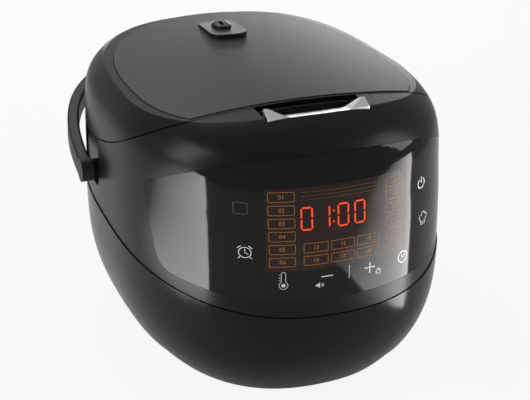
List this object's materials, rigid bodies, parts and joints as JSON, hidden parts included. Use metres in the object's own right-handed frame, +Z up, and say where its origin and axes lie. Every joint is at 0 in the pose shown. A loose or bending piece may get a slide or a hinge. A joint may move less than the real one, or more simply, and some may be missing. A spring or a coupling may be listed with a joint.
{
  "type": "electric multicooker",
  "caption": "Countertop electric multicooker with a rounded moulded body, hinged lid, steam valve, release bar, wrap-round touch panel, carry handle and cooking pot.",
  "frame": {"origin": "on the standing surface under the middle of the object's box, with the carry handle folded back", "axes": "+X to the right as seen from the front, +Y to the back, +Z up"},
  "size_m": [0.3242, 0.4135, 0.2614],
  "materials": {
    "body_plastic": "satin moulded",
    "panel_gloss": "gloss",
    "lid_top": "fine grain",
    "handle_plastic": "matte",
    "release_metal": "satin",
    "inner_plastic": "moulded",
    "pot_coating": "coated",
    "bare_aluminium": "turned",
    "steel": "drawn",
    "rubber_black": "matt",
    "gasket_silicone": "matt",
    "board_laminate": "lacquered",
    "display_amber": "tinted",
    "contact_brass": "bright",
    "cup_plastic": "moulded"
  },
  "bodies": {
    "housing": {"base_plate": "body_plastic", "rubber_feet": "rubber_black", "base_screws": "steel", "lower_shell": "body_plastic", "power_inlet": "inner_plastic", "inlet_pins": "contact_brass", "upper_shell": "body_plastic", "control_panel": "panel_gloss", "display_module": "display_amber", "control_board": "board_laminate", "touch_posts": "rubber_black", "handle_pins": "steel", "power_board": "board_laminate", "power_parts": "inner_plastic", "top_deck": "inner_plastic", "hinge_pin": "steel", "inner_chamber": "steel", "heating_plate": "bare_aluminium", "heater_tube": "steel", "heater_legs": "steel", "side_heater": "bare_aluminium", "sensor_guide": "inner_plastic", "sensor_spring": "steel", "cooking_pot": "pot_coating", "latch_pin": "steel", "latch_spring": "steel", "hinge_spring": "steel"},
    "lid": {"lid_shell": "body_plastic", "lid_panel": "lid_top", "lid_liner": "inner_plastic", "inner_lid": "bare_aluminium", "lid_gasket": "gasket_silicone", "lid_catch": "steel", "vent_housing": "lid_top"},
    "steam_valve": {"steam_valve": "panel_gloss"},
    "release_latch": {"release_bar": "release_metal", "latch_lever": "inner_plastic"},
    "handle": {"handle_outer": "handle_plastic", "handle_inner": "handle_plastic"},
    "sensor": {"sensor_cap": "bare_aluminium"},
    "condensate_cup": {"condensate_cup": "cup_plastic"}
  },
  "joints": [
    {"name": "lid_hinge", "type": "hinge", "parent": "housing", "child": "lid", "pos_m": [0, 0.14, 0.208], "axis": [-1, 0, 0], "range_deg": [0, 88]},
    {"name": "valve_lift", "type": "slide", "parent": "lid", "child": "steam_valve", "axis": [0, 0, 1], "range_m": [0, 0.04]},
    {"name": "release_press", "type": "hinge", "parent": "housing", "child": "release_latch", "pos_m": [0, -0.1505, 0.24], "axis": [-1, 0, 0], "range_deg": [0, 6], "stiffness_Nm_per_rad": 1.2},
    {"name": "handle_swing", "type": "hinge", "parent": "housing", "child": "handle", "pos_m": [0, 0.017, 0.158], "axis": [1, 0, 0], "range_deg": [0, 80]},
    {"name": "sensor_press", "type": "slide", "parent": "housing", "child": "sensor", "axis": [0, 0, -1], "range_m": [0, 0.003], "stiffness_N_per_m": 900, "deforming": ["sensor_spring"]},
    {"name": "cup_slide", "type": "slide", "parent": "housing", "child": "condensate_cup", "axis": [0, 1, 0], "range_m": [0, 0.045]}
  ]
}
